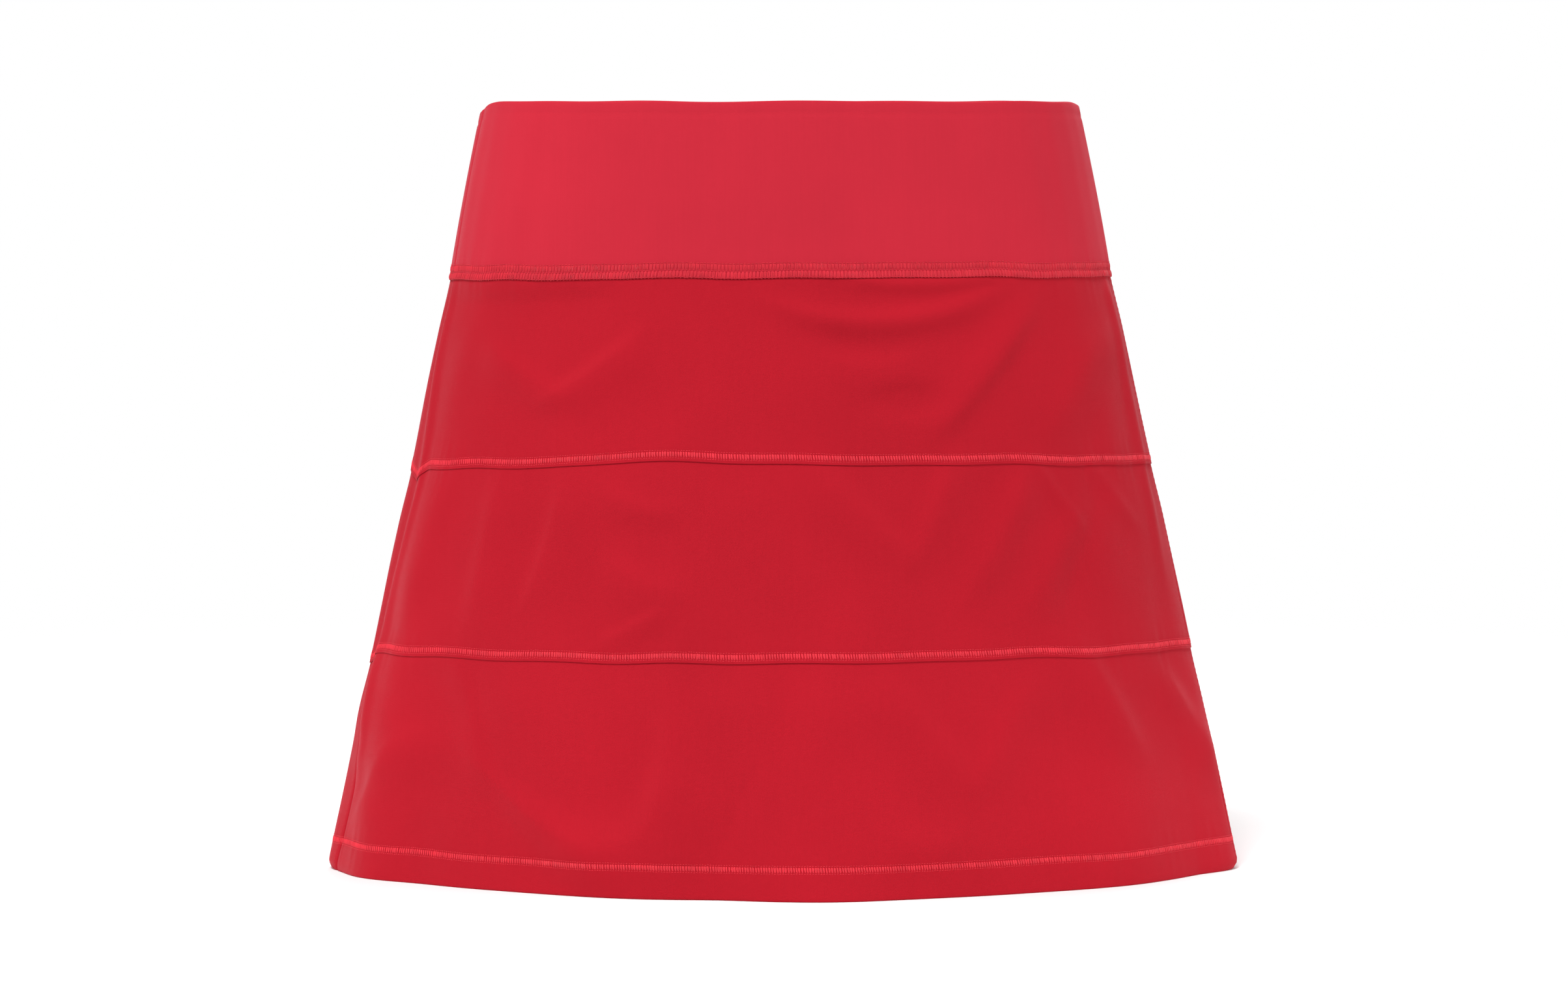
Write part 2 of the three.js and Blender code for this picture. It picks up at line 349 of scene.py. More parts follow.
def band_shape(angle, height):
    """The waistband is a little puffed, with a faint line where the fold at the rim is sewn down."""
    below_rim = rim_height(angle) - height
    share = np.clip(below_rim / (LENGTH - WAIST), 0, 1)
    puff = 0.7 * np.sin(math.pi * share) ** 0.8
    line = -0.28 * bump((below_rim - 5.2) / 0.7)
    return np.where(height > WAIST - 4, puff + line + 0.12 * ripple(angle, (23, 31, 47), 5), 0)


def side_lean(angle, height):
    """The left side seam strays forwards in two places, which shows a strip of the back beyond it."""
    forwards = 5.0 * bump((height - 178) / 50) + 3.0 * bump((height - 46) / 34)
    return -forwards * bump(turn_from(angle, LEFT_SEAM) / 13)


def wall(angle, inset, height):
    """Points in metres: the angle goes from the right side over the front, the inset goes inwards."""
    turned = angle + side_lean(angle, height)
    across = np.cos(np.radians(turned))
    along = np.sin(np.radians(turned))
    front = along > 0
    x = at_height(HALF_WIDTH, height) * across
    out = flutes(turned, height) + puckers(angle, height) + rumple(turned, height)
    out = out + side_seams(angle, height) + band_shape(angle, height) + hem_corners(angle, height)
    front_folds = creases(FRONT_CREASES, FRONT_SWELLS, x, height)
    back_folds = creases(BACK_CREASES, BACK_SWELLS, x, height)
    folds = np.where(front, front_folds, back_folds)
    out = out + folds * ramp(np.abs(along), 0.0, 0.16)
    out = out - inset
    depth = np.where(front, at_height(FRONT_DEPTH, height), at_height(BACK_DEPTH, height)) + out
    taper = np.where(front, at_height(FRONT_TAPER, height), at_height(BACK_TAPER, height))
    y = -depth * along * (along**2 + SIDE_ROUNDING**2 * (1 - along**2)) ** ((taper - 1) / 2)
    return np.stack(np.broadcast_arrays(x + out * across, y + AXIS_Y, height), -1) / MM


# ---------------------------------------------------------------- mesh building
END_STEPS = 4


def thick_path(path, thickness):
    """The closed outline of a layer of cloth along path, (columns, points, 2), with round ends."""
    along = np.gradient(path, axis=1)
    along /= np.linalg.norm(along, axis=-1, keepdims=True)
    normal = np.stack([-along[..., 1], along[..., 0]], -1)
    half = thickness / 2
    turns = np.linspace(0, math.pi, END_STEPS + 2)[1:-1, None]

    def end(point, side, direction):
        return point[:, None] + half * (np.cos(turns) * side[:, None] + np.sin(turns) * direction[:, None])

    return np.concatenate([
        path + half * normal,
        end(path[:, -1], normal[:, -1], along[:, -1]),
        (path - half * normal)[:, ::-1],
        end(path[:, 0], -normal[:, 0], -along[:, 0]),
    ], axis=1)


def ring_faces(columns, rows, closed):
    """Quads between neighbouring columns of points, each a closed loop of rows."""
    spans = columns if closed else columns - 1
    i, j = np.meshgrid(np.arange(spans), np.arange(rows), indexing="ij")
    k, n = (j + 1) % rows, (i + 1) % columns
    return np.stack([i * rows + j, i * rows + k, n * rows + k, n * rows + j], -1).reshape(-1, 4)


def cap_faces(points, first):
    """Faces that close the end of a thick path with that many points, whose outline starts at first."""
    rows = 2 * points + 2 * END_STEPS
    back = points + END_STEPS
    j = np.arange(points - 1)
    k = back + points - 1 - j
    quads = (np.stack([j, k, k - 1, j + 1], -1) + first).tolist()
    tail = [first + n for n in range(points - 1, back + 1)]
    head = [first + n % rows for n in range(back + points - 1, rows + 1)]
    return quads + [tail, head]


def make_object(name, points, faces, texture, material, replaced=()):
    """A smooth closed mesh that rides on the skirt's body; texture gives each point's place on the cloth."""
    mesh = bpy.data.meshes.new(name)
    mesh.from_pydata(points.reshape(-1, 3).tolist(), [], faces)
    shape = bmesh.new()
    shape.from_mesh(mesh)
    bmesh.ops.recalc_face_normals(shape, faces=shape.faces)
    shape.to_mesh(mesh)
    shape.free()
    corners = np.zeros(len(mesh.loops), np.int32)
    mesh.loops.foreach_get("vertex_index", corners)
    layer = mesh.uv_layers.new(name="cloth")
    layer.data.foreach_set("uv", texture.reshape(-1, 2)[corners].astype(np.float32).ravel())
    mesh.polygons.foreach_set("use_smooth", np.ones(len(mesh.polygons), bool))
    mesh.materials.append(material)
    made = bpy.data.objects.new(name, mesh)
    bpy.context.scene.collection.objects.link(made)
    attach(made, "root")
    if replaced:
        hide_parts(*replaced)
    return made


def cloth_texture(points):
    """Distance round the skirt from the middle of the piece and distance down it, in metres."""
    round_it = np.linalg.norm(np.diff(points, axis=0), axis=-1)
    u = np.concatenate([np.zeros((1, points.shape[1])), np.cumsum(round_it, axis=0)])
    u = u - u[len(u) // 2]
    down_it = np.linalg.norm(np.diff(points, axis=1), axis=-1)
    v = np.concatenate([np.zeros((len(points), 1)), np.cumsum(down_it, axis=1)], axis=1)
    return np.stack([u, v], -1)


def swept(name, angles, path, thickness, material, replaced=(), ring=False):
    """A layer of cloth, with its path of (inset, height) points at each angle."""
    outline = thick_path(path, thickness)
    points = wall(angles[:, None], outline[..., 0], outline[..., 1])
    columns, rows = outline.shape[:2]
    faces = ring_faces(columns, rows, ring).tolist()
    if not ring:
        faces += cap_faces(path.shape[1], 0) + cap_faces(path.shape[1], (columns - 1) * rows)
    return make_object(name, points, faces, cloth_texture(points), material, replaced)


def tubes(name, paths, radii, material, replaced=(), sides=6):
    """Many short threads in one mesh: paths is (threads, points, 3) in metres, radii is (points,)."""
    count, steps = paths.shape[:2]
    along = np.gradient(paths, axis=1)
    along /= np.linalg.norm(along, axis=-1, keepdims=True)
    outward = paths * [1, 1, 0] - np.array([0, AXIS_Y / MM, 0])
    across = np.cross(along, outward)
    across /= np.linalg.norm(across, axis=-1, keepdims=True)
    lift = np.cross(across, along)
    turns = np.linspace(0, 2 * math.pi, sides, endpoint=False)[:, None]
    spokes = np.cos(turns) * across[:, :, None] + np.sin(turns) * lift[:, :, None]
    points = paths[:, :, None] + radii[None, :, None, None] * spokes
    i, j = np.meshgrid(np.arange(steps - 1), np.arange(sides), indexing="ij")
    k = (j + 1) % sides
    near, far = i * sides, (i + 1) * sides
    quads = np.stack([near + j, near + k, far + k, far + j], -1).reshape(-1, 4)
    starts = np.arange(count)[:, None, None] * steps * sides
    faces = (quads[None] + starts).reshape(-1, 4).tolist()
    ends = np.stack([np.arange(sides), np.arange(sides)[::-1] + (steps - 1) * sides])
    faces += (ends[None] + starts).reshape(-1, sides).tolist()
    parts = np.linalg.norm(np.diff(paths, axis=1), axis=-1)
    length = np.concatenate([np.zeros((count, 1)), np.cumsum(parts, 1)], 1)
    texture = np.stack(np.broadcast_arrays(np.arange(sides) / sides, length[:, :, None]), -1)
    return make_object(name, points, faces, texture, material, replaced)


# ---------------------------------------------------------------- materials
def node_tree(name):
    material = bpy.data.materials.new(name)
    material.use_nodes = True
    tree = material.node_tree
    return material, tree, tree.nodes["Principled BSDF"]


def math_node(tree, operation, first, second=None):
    made = tree.nodes.new("ShaderNodeMath")
    made.operation = operation
    for socket, value in zip(made.inputs, (first, second)):
        if isinstance(value, bpy.types.NodeSocket):
            tree.links.new(value, socket)
        elif value is not None:
            socket.default_value = value
    return made.outputs[0]


def noise_node(tree, vector, scale, detail=2.0, roughness=0.5):
    made = tree.nodes.new("ShaderNodeTexNoise")
    made.inputs["Scale"].default_value = scale
    made.inputs["Detail"].default_value = detail
    made.inputs["Roughness"].default_value = roughness
    tree.links.new(vector, made.inputs["Vector"])
    return made.outputs["Fac"]


def colour_ramp(tree, factor, stops):
    """Two stops, each (place, colour)."""
    made = tree.nodes.new("ShaderNodeValToRGB")
    for element, (place, colour) in zip(made.color_ramp.elements, stops):
        element.position = place
        element.color = (*colour, 1)
    tree.links.new(factor, made.inputs["Fac"])
    return made.outputs["Color"]


def multiply_colours(tree, first, second):
    made = tree.nodes.new("ShaderNodeMix")
    made.data_type = "RGBA"
    made.blend_type = "MULTIPLY"
    made.inputs["Factor"].default_value = 1.0
    tree.links.new(first, made.inputs["A"])
    tree.links.new(second, made.inputs["B"])
    return made.outputs["Result"]


def bump_node(tree, height, distance, strength, normal=None):
    made = tree.nodes.new("ShaderNodeBump")
    made.inputs["Distance"].default_value = distance
    made.inputs["Strength"].default_value = strength
    tree.links.new(height, made.inputs["Height"])
    if normal is not None:
        tree.links.new(normal, made.inputs["Normal"])
    return made.outputs["Normal"]


def shade(colour, amount):
    """The colour, made lighter or darker by a factor."""
    return tuple(min(1.0, c * amount) for c in colour)


def cloth_place(tree):
    """The place on the cloth, as one vector and as its distances round and down it, in metres."""
    place = tree.nodes.new("ShaderNodeUVMap")
    place.uv_map = "cloth"
    split = tree.nodes.new("ShaderNodeSeparateXYZ")
    tree.links.new(place.outputs["UV"], split.inputs[0])
    return place.outputs["UV"], split.outputs["X"], split.outputs["Y"]


def knit_pattern(tree, wale, course):
    """Height of a plain knit face: columns of V stitches, wale apart and course tall, in metres."""
    uv, round_it, down_it = cloth_place(tree)
    column = math_node(tree, "DIVIDE", round_it, wale)
    row = math_node(tree, "DIVIDE", down_it, course)
    within = math_node(tree, "FRACT", column)
    centred = math_node(tree, "SUBTRACT", math_node(tree, "MULTIPLY", within, 2.0), 1.0)
    from_middle = math_node(tree, "ABSOLUTE", centred)
    slanted = math_node(tree, "ADD", row, math_node(tree, "MULTIPLY", from_middle, 0.85))
    legs = math_node(tree, "SINE", math_node(tree, "MULTIPLY", slanted, 2 * math.pi))
    legs = math_node(tree, "MULTIPLY", math_node(tree, "ADD", legs, 1.0), 0.5)
    rounded = math_node(tree, "SINE", math_node(tree, "MULTIPLY", from_middle, math.pi))
    rounded = math_node(tree, "POWER", math_node(tree, "MAXIMUM", rounded, 0.0), 0.5)
    relief = math_node(tree, "ADD", math_node(tree, "MULTIPLY", legs, 0.6), 0.4)
    return uv, math_node(tree, "MULTIPLY", rounded, relief)


def knit_material(name, colour, sheen, wale, course, relief):
    """Fine matte stretch knit: V stitches, a slightly mottled dye, loose fibres, a soft pale sheen, painted
    shade between stitches.
    """
    material, tree, surface = node_tree(name)
    uv, pattern = knit_pattern(tree, wale, course)
    place = tree.nodes.new("ShaderNodeTexCoord").outputs["Object"]
    mottle = noise_node(tree, place, 9.0, 3.0, 0.55)
    fibres = noise_node(tree, place, 1500.0, 4.0, 0.7)
    streaks = tree.nodes.new("ShaderNodeMapping")
    streaks.inputs["Scale"].default_value = (900, 25, 1)
    tree.links.new(uv, streaks.inputs["Vector"])
    yarn = noise_node(tree, streaks.outputs["Vector"], 1.0, 3.0, 0.6)
    dye = colour_ramp(tree, mottle, [(0.3, shade(colour, 0.94)), (0.7, shade(colour, 1.05))])
    yarns = colour_ramp(tree, yarn, [(0.3, (0.975, 0.97, 0.97)), (0.7, (1.0, 1.0, 1.0))])
    dyed = multiply_colours(tree, dye, yarns)
    # Painted shade: the knit's colour is darkened where its stitch relief is low, in the gaps between the
    # stitches.
    painted_stitch_shade = colour_ramp(tree, pattern, [(0.0, (0.74, 0.66, 0.66)), (0.55, (1.0, 1.0, 1.0))])
    knit_with_painted_shade = multiply_colours(tree, dyed, painted_stitch_shade)
    tree.links.new(knit_with_painted_shade, surface.inputs["Base Color"])
    roughness = tree.nodes.new("ShaderNodeMapRange")
    roughness.inputs["To Min"].default_value = 0.78
    roughness.inputs["To Max"].default_value = 0.95
    tree.links.new(fibres, roughness.inputs["Value"])
    tree.links.new(roughness.outputs["Result"], surface.inputs["Roughness"])
    surface.inputs["Specular IOR Level"].default_value = 0.12
    surface.inputs["Sheen Weight"].default_value = sheen
    surface.inputs["Sheen Roughness"].default_value = 0.3
    surface.inputs["Sheen Tint"].default_value = (1.0, 0.45, 0.5, 1)
    knit = bump_node(tree, pattern, relief, 0.8)
    fuzz = bump_node(tree, fibres, 0.00006, 0.5, knit)
    tree.links.new(fuzz, surface.inputs["Normal"])
    return material


PLY_LENGTH = 0.0011


def thread_material(name, colour):
    """Soft plied thread: its two plies wind round it, with a lighter crown and painted shade in the valleys
    between them.
    """
    material, tree, surface = node_tree(name)
    _, round_it, down_it = cloth_place(tree)
    lengthwise = math_node(tree, "DIVIDE", down_it, PLY_LENGTH)
    wound = math_node(tree, "ADD", lengthwise, round_it)
    plies = math_node(tree, "SINE", math_node(tree, "MULTIPLY", wound, 4 * math.pi))
    plies = math_node(tree, "MULTIPLY", math_node(tree, "ADD", plies, 1.0), 0.5)
    spot = tree.nodes.new("ShaderNodeTexCoord").outputs["Object"]
    dye = noise_node(tree, spot, 160.0, 2.0)
    tone = colour_ramp(tree, dye, [(0.25, shade(colour, 0.86)), (0.75, shade(colour, 1.08))])
    # Painted shade: the thread's colour is darkened in the valleys between the plies.
    painted_ply_shade = colour_ramp(tree, plies, [(0.0, (0.84, 0.78, 0.78)), (0.6, (1.0, 1.0, 1.0))])
    tree.links.new(multiply_colours(tree, tone, painted_ply_shade), surface.inputs["Base Color"])
    surface.inputs["Roughness"].default_value = 0.7
    surface.inputs["Specular IOR Level"].default_value = 0.2
    surface.inputs["Sheen Weight"].default_value = 0.2
    surface.inputs["Sheen Roughness"].default_value = 0.4
    surface.inputs["Sheen Tint"].default_value = (1.0, 0.7, 0.72, 1)
    tree.links.new(bump_node(tree, plies, 0.00005, 0.8), surface.inputs["Normal"])
    return material


def woven_material(name, colour, spacing, roughness):
    """A fine plain weave, for the labels and the elastic, with painted shade where its threads dip."""
    material, tree, surface = node_tree(name)
    _, round_it, down_it = cloth_place(tree)
    warp = math_node(tree, "SINE", math_node(tree, "MULTIPLY", round_it, math.pi / spacing))
    weft = math_node(tree, "SINE", math_node(tree, "MULTIPLY", down_it, math.pi / spacing))
    crossings = math_node(tree, "ADD", math_node(tree, "MULTIPLY", warp, weft), 1.0)
    weave = math_node(tree, "MULTIPLY", crossings, 0.5)
    spot = tree.nodes.new("ShaderNodeTexCoord").outputs["Object"]
    dye = noise_node(tree, spot, 60.0)
    tone = colour_ramp(tree, dye, [(0.3, shade(colour, 0.95)), (0.7, shade(colour, 1.03))])
    # Painted shade: the colour is darkened where the woven threads dip between their crossings.
    depth = colour_ramp(tree, weave, [(0.0, (0.86, 0.85, 0.84)), (0.7, (1.0, 1.0, 1.0))])
    tree.links.new(multiply_colours(tree, tone, depth), surface.inputs["Base Color"])
    surface.inputs["Roughness"].default_value = roughness
    surface.inputs["Sheen Weight"].default_value = 0.15
    tree.links.new(bump_node(tree, weave, 0.00004, 0.7), surface.inputs["Normal"])
    return material


# Each knit has a sheen, then the width, height and relief of its stitches; each weave has the spacing of its
# threads, then a roughness. Lengths are in metres.
TIER_KNIT = knit_material("tier_knit", (0.443, 0.0070, 0.0185), 0.31, 0.00062, 0.00048, 0.00007)
BAND_KNIT = knit_material("band_knit", (0.545, 0.0195, 0.0390), 0.30, 0.00050, 0.00040, 0.00005)
THREAD = thread_material("seam_thread", (0.74, 0.030, 0.052))
WAIST_THREAD = thread_material("waist_seam_thread", (0.62, 0.021, 0.040))
FINE_THREAD = thread_material("side_thread", (0.55, 0.018, 0.034))
ELASTIC = woven_material("elastic_weave", (0.80, 0.77, 0.73), 0.0009, 0.8)
LABEL = woven_material("label_satin", (0.87, 0.86, 0.83), 0.0003, 0.5)

# ---------------------------------------------------------------- panels of cloth
COLUMNS = 340
HALVES = {
    "front": np.linspace(RIGHT_SEAM + SEAM_MARGIN, LEFT_SEAM - SEAM_MARGIN, COLUMNS),
    "back": np.linspace(LEFT_SEAM + SEAM_MARGIN, RIGHT_SEAM + 360 - SEAM_MARGIN, COLUMNS),
}
RING = np.linspace(0, 360, 2 * COLUMNS, endpoint=False)


def tuck(line, below):
    """How far a tier is tucked in behind the seam above it, at a distance below the tier's top edge."""
    lap = REACH + line["band"] / 2 + line["ledge"]
    return LAYER * (1 - ramp(below, lap, lap + TUCK_FADE))


def straight(top, bottom, count):
    """Evenly spaced heights from top to bottom at each angle."""
    return top[:, None] + (bottom - top)[:, None] * np.linspace(0, 1, count)


def fold(middle_inset, middle_height, radius, upwards):
    """A half turn of cloth seen end on, from the outer layer to the inner one."""
    turns = np.linspace(0, math.pi, 9)[1:-1]
    inset = middle_inset - radius * np.cos(turns)
    height = middle_height[:, None] + (1 if upwards else -1) * radius * np.sin(turns)
    return np.stack([np.broadcast_to(inset, height.shape), height], -1)


def strip(inset, heights):
    """A straight run of cloth seen end on: one inset, or one for each point, at the given heights."""
    return np.stack([np.broadcast_to(inset, heights.shape), heights], -1)


def band_path(angles):
    """The waistband's outer layer, from its lower edge up and over the rim."""
    radius = LAYER
    middle = rim_height(angles) - FABRIC / 2 - radius
    bottom = edge_above(WAIST_SEAM, angles) + FABRIC / 2
    inner_end = middle + radius + FABRIC / 2 - RIM_FOLD
    return np.concatenate([
        strip(FABRIC / 2, straight(bottom, middle, 64)),
        fold(FABRIC / 2 + radius, middle, radius, True),
        strip(FABRIC / 2 + 2 * radius, straight(middle, inner_end, 5)),
    ], axis=1)


def lining_path(angles):
    """The waistband's inner layer, from under the fold down to the waist seam."""
    top = rim_height(angles) - RIM_FOLD - GAP - FABRIC / 2
    bottom = edge_above(WAIST_SEAM, angles) + FABRIC / 2
    return strip(2 * LAYER + FABRIC / 2, straight(top, bottom, 60))


def tier_path(above, below):
    """A tier between two sewn lines, tucked in behind the upper one."""
    def path(angles):
        top = edge_below(above, angles) - FABRIC / 2
        heights = straight(top, edge_above(below, angles) + FABRIC / 2, 84)
        return strip(tuck(above, top[:, None] - heights) + FABRIC / 2, heights)
    return path


def hem_tier_path(angles):
    """The lowest tier, with its hem turned up inside."""
    radius = HEM_FOLD_RADIUS
    top = edge_below(LOWER_SEAM, angles) - FABRIC / 2
    bottom = np.full(len(angles), FABRIC / 2 + radius)
    heights = straight(top, bottom, 96)
    return np.concatenate([
        strip(tuck(LOWER_SEAM, top[:, None] - heights) + FABRIC / 2, heights),
        fold(FABRIC / 2 + radius, bottom, radius, False),
        strip(FABRIC / 2 + 2 * radius, straight(bottom, np.full(len(angles), HEM_TURN_UP), 16)),
    ], axis=1)


def arc_length(angles, height):
    """Length of the smooth wall between the first and last angle at one height, in metres."""
    points = wall(angles, 0.0, np.full(len(angles), height))
    return float(np.linalg.norm(np.diff(points, axis=0), axis=1).sum())


# Path, material, slot, heights of the lines below and above in mm, and length of the cut cloth in metres.
PANELS = {
    "waistband": (band_path, BAND_KNIT, "band_knit", WAIST, LENGTH, 0.085),
    "waistband_lining": (lining_path, BAND_KNIT, "band_knit", WAIST, LENGTH, 0.076),
    "upper_tier": (tier_path(WAIST_SEAM, UPPER_SEAM), TIER_KNIT, "skirt_knit", UPPER, WAIST, 0.096),
    "middle_tier": (tier_path(UPPER_SEAM, LOWER_SEAM), TIER_KNIT, "skirt_knit", LOWER, UPPER, 0.093),
    "lower_tier": (hem_tier_path, TIER_KNIT, "skirt_knit", 0.0, LOWER, 0.124),
}


def make_panels():
    """A front and a back of each band of cloth, joined at the side seams."""
    for name, (path, material, slot, low, high, length) in PANELS.items():
        for half, angles in HALVES.items():
            node = f"{name}_{half}"
            made = swept(f"cloth_{node}", angles, path(angles), FABRIC, material, [node])
            wide, narrow = arc_length(angles, low), arc_length(angles, high)


# ---------------------------------------------------------------- rows of stitches
def around(height_at, inset=-0.5):
    """The angle and the length so far, in millimetres, along a line right round the skirt."""
    angles = np.linspace(0, 360, 3000)
    points = wall(angles, inset, height_at(angles)) * MM
    length = np.concatenate([[0], np.cumsum(np.linalg.norm(np.diff(points, axis=0), axis=1))])
    return angles, length


# How far the core of a bar of thread stands out from the cloth, at its ends and in its middle.
SUNK = -0.25
PROUD = 0.06
BAR_POINTS = 7
DASH_POINTS = 5


def row_of_bars(line_at, pitch, low, high, strands, lean, thickness, seed, stagger=0.0):
    """Upright bars of thread over a seam. Each is a few strands that dive into the cloth at both ends."""
    rng = np.random.default_rng(seed)
    angles, length = around(line_at)
    count = round(length[-1] / pitch)
    step = length[-1] / count
    t = np.linspace(0, 1, BAR_POINTS)
    paths = []
    for strand in range(strands):
        aside = (strand - (strands - 1) / 2) * thickness * 0.8
        start = (np.arange(count) + stagger + 0.5)[:, None] * step
        start = start + rng.normal(0, 0.05 * pitch, (count, 1))
        lean_here = lean * (1 if strand % 2 else 0.4) + rng.normal(0, 0.08 * pitch, (count, 1))
        sway = rng.normal(0, 0.05 * pitch, (count, 1))
        along = start + (aside + sway) * np.sin(math.pi * t) ** 0.35 + lean_here * (t - 0.5)
        here = np.interp(along % length[-1], length, angles)
        tall = rng.normal(1, 0.03, (count, 1))
        height = line_at(here) + (low + high) / 2 + (high - low) * tall * (t - 0.5)
        over = SUNK + (PROUD - SUNK) * np.sin(math.pi * t) ** 0.5
        paths.append(wall(here, -over + rng.normal(0, 0.025, (count, 1)), height))
    return np.concatenate(paths)


def row_of_dashes(line_at, pitch, share, offset, lift, seed):
    """Short stitches along a seam, each dipping into the cloth at its ends."""
    rng = np.random.default_rng(seed)
    angles, length = around(line_at)
    count = round(length[-1] / pitch)
    step = length[-1] / count
    t = np.linspace(0, 1, DASH_POINTS)
    along = (np.arange(count)[:, None] + 0.5 + (t - 0.5) * share) * step
    along = along + rng.normal(0, 0.04 * pitch, (count, 1))
    here = np.interp(along % length[-1], length, angles)
    height = line_at(here) + offset + 0.12 * np.sin(math.pi * t) + rng.normal(0, 0.05, (count, 1))
    return wall(here, 0.12 - lift * np.sin(math.pi * t) ** 0.7, height)


def thread_radii(points, radius, tip=0.35):
    """The radius at each point of a thread, down to a share of it at both tips, in metres."""
    t = np.linspace(0, 1, points)
    return radius * (tip + (1 - tip) * np.sin(math.pi * t) ** 0.35) / MM


def seam_line(line):
    """The height of a sewn line as a function of the angle alone."""
    return lambda angle: seam_height(line, angle)


COVERSTITCH_PITCH = 1.2
# How far inside the edges of their band the bars end and the rows of needle stitches run.
BAR_INSET = 0.45
NEEDLE_INSET = 0.1


def make_seam_threads():
    """The three lower bands of stitches, each upright bars between two rows of needle stitches."""
    bar_radii = thread_radii(BAR_POINTS, 0.29, 0.45)
    needle_radii = thread_radii(DASH_POINTS, 0.13)
    for number, (node, line) in enumerate((
        ("upper_seam_thread", UPPER_SEAM),
        ("lower_seam_thread", LOWER_SEAM),
        ("hem_stitch_thread", HEM_STITCH),
    )):
        at = seam_line(line)
        half = line["band"] / 2
        reach = half - BAR_INSET
        bars = row_of_bars(at, COVERSTITCH_PITCH, -reach, reach, 2, 0.5, 0.4, 40 + number)
        tubes(f"bars_{node}", bars, bar_radii, THREAD, [node], sides=5)
        edges = [
            row_of_dashes(at, COVERSTITCH_PITCH, 0.75, side * (half - NEEDLE_INSET), 0.18, 50 + number)
            for side in (-1, 1)
        ]
        tubes(f"needle_{node}", np.concatenate(edges), needle_radii, THREAD, sides=5)


FLATLOCK_PITCH = 1.62


def make_waist_seam():
    """Two staggered rows of short bars between three needle lines."""
    node = "waist_seam_thread"
    at = seam_line(WAIST_SEAM)
    upper = row_of_bars(at, FLATLOCK_PITCH, -0.3, 2.8, 3, 0.2, 0.5, 61)
    lower = row_of_bars(at, FLATLOCK_PITCH, -3.8, -0.5, 3, -0.2, 0.5, 62, stagger=0.5)
    bars = np.concatenate([upper, lower])
    bar_radii = thread_radii(BAR_POINTS, 0.3, 0.6)
    tubes(f"bars_{node}", bars, bar_radii, WAIST_THREAD, [node], sides=5)
    rows = enumerate((-3.5, -0.4, 2.9))
    edges = [row_of_dashes(at, FLATLOCK_PITCH, 0.9, offset, 0.24, 63 + n) for n, offset in rows]
    needle_radii = thread_radii(DASH_POINTS, 0.18)
    tubes(f"needle_{node}", np.concatenate(edges), needle_radii, WAIST_THREAD, sides=5)


ZIGZAG_PITCH = 5.0
ZIGZAG_HEIGHT = 3.2
ZIGZAG_POINTS = 6


def make_lining_seam():
    """A zigzag inside the rim that joins the lining to the fold."""
    angles, length = around(lambda a: rim_height(a) - RIM_FOLD, 4.0)
    count = 2 * round(length[-1] / ZIGZAG_PITCH)
    t = np.linspace(0, 1, ZIGZAG_POINTS)
    along = (np.arange(count)[:, None] + t) * length[-1] / count
    here = np.interp(along % length[-1], length, angles)
    sway = np.where(np.arange(count)[:, None] % 2, 1, -1) * (t - 0.5) * ZIGZAG_HEIGHT
    height = rim_height(here) - RIM_FOLD - GAP / 2 + sway
    inset = 3 * LAYER + 0.25 * np.sin(math.pi * t) ** 0.5 - 0.15
    stitches = wall(here, inset, height)
    radii = thread_radii(ZIGZAG_POINTS, 0.24, 0.6)
    tubes("zigzag_lining_seam_thread", stitches, radii, THREAD, ["lining_seam_thread"])


SIDE_STITCH_LENGTH = 2.6
SIDE_ROW_OFFSET = 2.4


def make_side_stitches():
    """Two fine rows down each side seam, in one length per tier."""
    tiers = (
        ("upper_tier_side_thread", WAIST_SEAM, UPPER_SEAM),
        ("middle_tier_side_thread", UPPER_SEAM, LOWER_SEAM),
        ("lower_tier_side_thread", LOWER_SEAM, None),
    )
    t = np.linspace(0, 1, DASH_POINTS)
    radii = thread_radii(DASH_POINTS, 0.14)
    for name, above, below in tiers:
        for side, centre in (("right", RIGHT_SEAM), ("left", LEFT_SEAM)):
            at = np.array([centre])
            edge = edge_below(above, at)[0]
            top = edge_above(above, at)[0] - 0.8
            bottom = 1.2 if below is None else seam_height(below, at)[0] + below["band"] / 2 + 0.3
            count = round((top - bottom) / SIDE_STITCH_LENGTH)
            height = top - (np.arange(count)[:, None] + 0.12 + 0.76 * t) * (top - bottom) / count
            one_degree = wall(centre + np.array([-0.5, 0.5]), 0.0, np.full(2, (top + bottom) / 2)) * MM
            mm_in_degree = np.linalg.norm(one_degree[1] - one_degree[0])
            rows = []
            for offset in (-SIDE_ROW_OFFSET, SIDE_ROW_OFFSET):
                angle = centre + offset / mm_in_degree
                inset = tuck(above, edge - height) + 0.15 - 0.12 * np.sin(math.pi * t) ** 0.7
                rows.append(wall(np.full(height.shape, angle), inset, height))
            node = f"{name}_{side}"
            stitches = np.concatenate(rows)
            tubes(f"stitches_{node}", stitches, radii, FINE_THREAD, [node], sides=5)


def make_elastic():
    """A ring of narrow elastic tape in the fold at the rim."""
    node = "waistband_elastic"
    top = rim_height(RING) - LAYER - 0.5
    path = strip(LAYER + FABRIC / 2, straight(top, top - ELASTIC_HEIGHT, 10))
    swept("elastic_band", RING, path, ELASTIC_THICKNESS, ELASTIC, [node], ring=True)


def make_label(node, angles, inset, heights):
    """A blank woven label, sewn flat against the inside."""
    path = strip(inset, heights)
    label = swept(f"woven_{node}", angles, path, LABEL_THICKNESS, LABEL, [node])
    wide = arc_length(angles, heights[0, 0])


SIZE_LABEL_HEIGHT = 18
CARE_LABEL_HEIGHT = 49.3


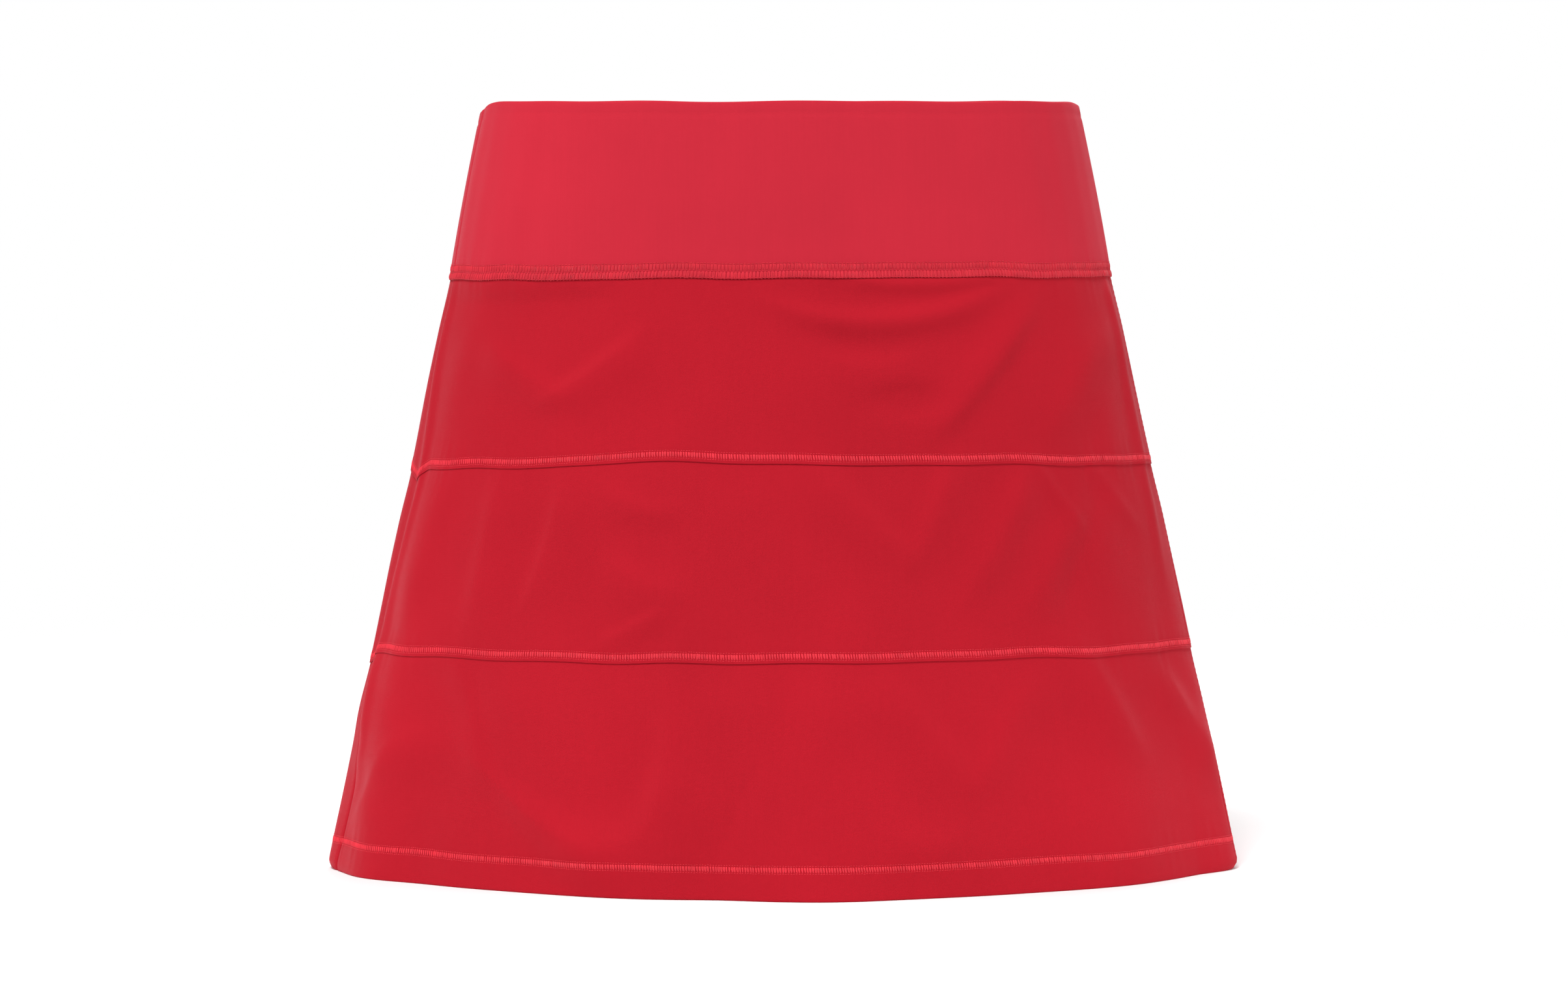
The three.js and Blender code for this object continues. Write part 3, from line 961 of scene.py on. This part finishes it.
def make_labels():
    """The size label is inside the waistband at the back, the care label inside the left side seam."""
    angles = np.linspace(270 - 6.3, 270 + 6.3, 40)
    top = rim_height(angles) - 12
    make_label("size_label", angles, 3 * LAYER + 0.25, straight(top, top - SIZE_LABEL_HEIGHT, 24))
    angles = np.linspace(182, 198, 40)
    edge = edge_below(WAIST_SEAM, angles)
    top = edge_above(WAIST_SEAM, angles) - 1.7
    heights = straight(top, top - CARE_LABEL_HEIGHT, 40)
    behind_tier = tuck(WAIST_SEAM, edge[:, None] - heights) + LAYER + 0.2
    make_label("care_label", angles, behind_tier, heights)


# ---------------------------------------------------------------- camera, light and floor
# In metres, and the lens in millimetres.
CAMERA_DISTANCE = 2.63
CAMERA_ASIDE = 0.0016
LENS = 132.887
# The camera aims a little lower than the middle of the skirt.
TILT = 1.041 * math.atan(LENGTH / 2 / MM / CAMERA_DISTANCE)


def make_camera():
    """Level with the rim, tilted down towards the middle of the skirt."""
    data = bpy.data.cameras.new("camera")
    camera = bpy.data.objects.new("camera", data)
    bpy.context.scene.collection.objects.link(camera)
    camera.location = (CAMERA_ASIDE, -CAMERA_DISTANCE + AXIS_Y / MM, LENGTH / MM)
    camera.rotation_euler = (math.pi / 2 - TILT, 0, 0)
    data.sensor_width = 36.0
    data.lens = LENS
    data.clip_end = 100
    bpy.context.scene.camera = camera


def area_light(name, place, size, power):
    data = bpy.data.lights.new(name, "AREA")
    data.size = size
    data.energy = power
    light = bpy.data.objects.new(name, data)
    bpy.context.scene.collection.objects.link(light)
    light.location = place
    aim = Vector((0, 0, LENGTH / 2 / MM)) - Vector(place)
    light.rotation_mode = "QUATERNION"
    light.rotation_quaternion = aim.to_track_quat("-Z", "Y")


def make_floor():
    """A pale round floor that fades out into the white surround."""
    mesh = bpy.data.meshes.new("floor")
    shape = bmesh.new()
    bmesh.ops.create_circle(shape, cap_ends=True, segments=96, radius=4.0)
    shape.to_mesh(mesh)
    shape.free()
    floor = bpy.data.objects.new("floor", mesh)
    bpy.context.scene.collection.objects.link(floor)
    material, tree, surface = node_tree("floor_white")
    place = tree.nodes.new("ShaderNodeTexCoord").outputs["Object"]
    reach = tree.nodes.new("ShaderNodeVectorMath")
    reach.operation = "LENGTH"
    tree.links.new(place, reach.inputs[0])
    fade = tree.nodes.new("ShaderNodeMapRange")
    fade.interpolation_type = "SMOOTHSTEP"
    for socket, value in zip(("From Min", "From Max", "To Min", "To Max"), (0.3, 1.3, 1.0, 0.0)):
        fade.inputs[socket].default_value = value
    tree.links.new(reach.outputs["Value"], fade.inputs["Value"])
    tree.links.new(fade.outputs["Result"], surface.inputs["Alpha"])
    surface.inputs["Base Color"].default_value = (0.9, 0.9, 0.9, 1)
    surface.inputs["Roughness"].default_value = 0.9
    surface.inputs["Specular IOR Level"].default_value = 0.05
    mesh.materials.append(material)


def make_surround():
    """White to the camera, but dimmer as a source of light, so that the lamps shape the folds."""
    world = bpy.data.worlds.new("world")
    world.use_nodes = True
    tree = world.node_tree
    seen = tree.nodes["Background"]
    seen.inputs["Color"].default_value = (1, 1, 1, 1)
    seen.inputs["Strength"].default_value = 1.0
    lighting = tree.nodes.new("ShaderNodeBackground")
    lighting.inputs["Color"].default_value = (1, 1, 1, 1)
    lighting.inputs["Strength"].default_value = 0.29
    rays = tree.nodes.new("ShaderNodeLightPath")
    either = tree.nodes.new("ShaderNodeMixShader")
    tree.links.new(rays.outputs["Is Camera Ray"], either.inputs["Fac"])
    tree.links.new(lighting.outputs["Background"], either.inputs[1])
    tree.links.new(seen.outputs["Background"], either.inputs[2])
    tree.links.new(either.outputs["Shader"], tree.nodes["World Output"].inputs["Surface"])
    bpy.context.scene.world = world


def make_stage():
    make_floor()
    make_surround()
    area_light("key", (-0.8, -1.95, 3.3), 1.1, 132)
    area_light("left", (-3.0, -0.8, 1.0), 1.2, 34)
    area_light("right", (2.9, -1.1, 0.9), 1.6, 44)
    area_light("back", (0.6, 2.2, 2.4), 1.8, 56)
    bpy.context.scene.view_settings.view_transform = "Standard"


make_camera()
make_stage()
make_panels()
make_waist_seam()
make_seam_threads()
make_lining_seam()
make_side_stitches()
make_elastic()
make_labels()
